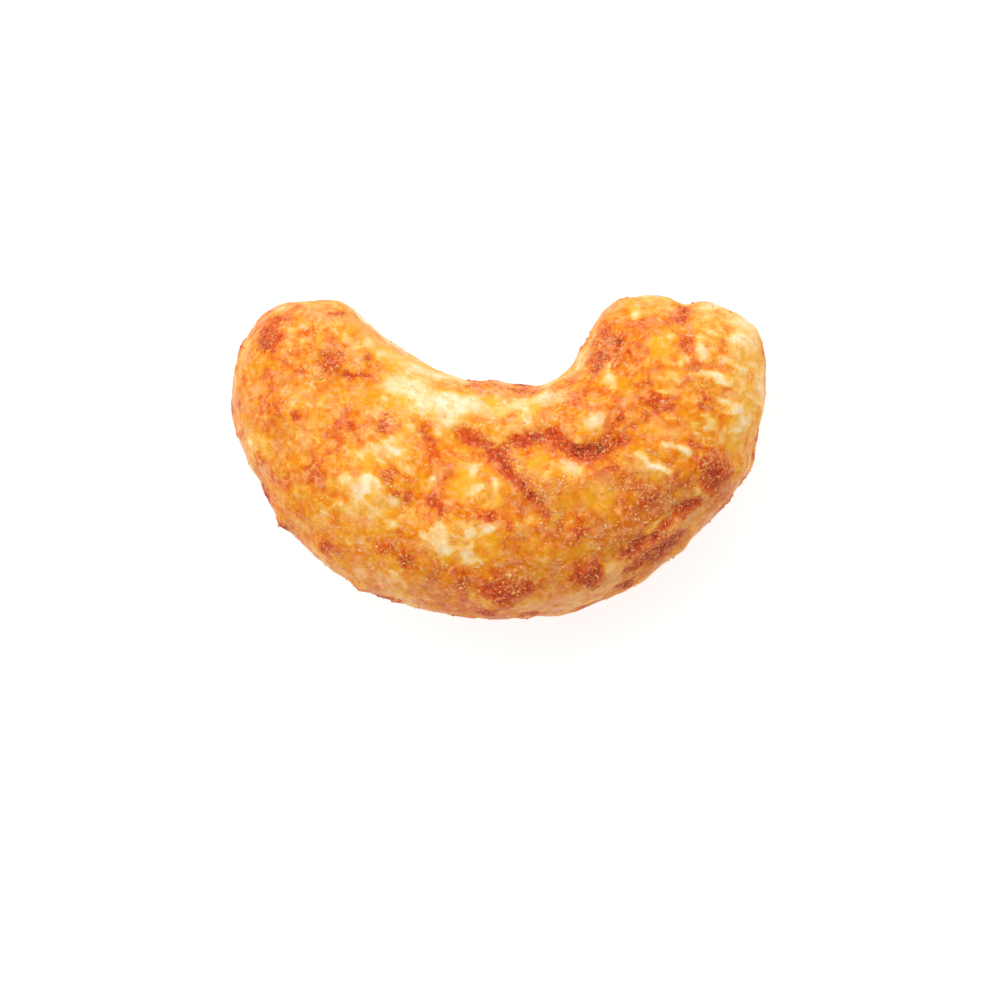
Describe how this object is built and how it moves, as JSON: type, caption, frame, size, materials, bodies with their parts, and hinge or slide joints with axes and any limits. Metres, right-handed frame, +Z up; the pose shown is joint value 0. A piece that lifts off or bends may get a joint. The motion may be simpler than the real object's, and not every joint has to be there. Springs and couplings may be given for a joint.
{
  "type": "roasted cashew nut",
  "caption": "Whole roasted cashew kernel, a plump crescent with two blunt horns, folded and seasoned skin, resting on its broad side.",
  "frame": {"origin": "on the table, under the middle of the kernel's box", "axes": "+X from the left horn to the right horn, +Y from the convex back to the hollow side and the horn tips, +Z up, which is the way the picture looks down on it"},
  "size_m": [0.026, 0.0156, 0.0106],
  "materials": {
    "roasted_skin": "satin"
  },
  "bodies": {
    "root": {"cashew_kernel": "roasted_skin"}
  },
  "joints": []
}
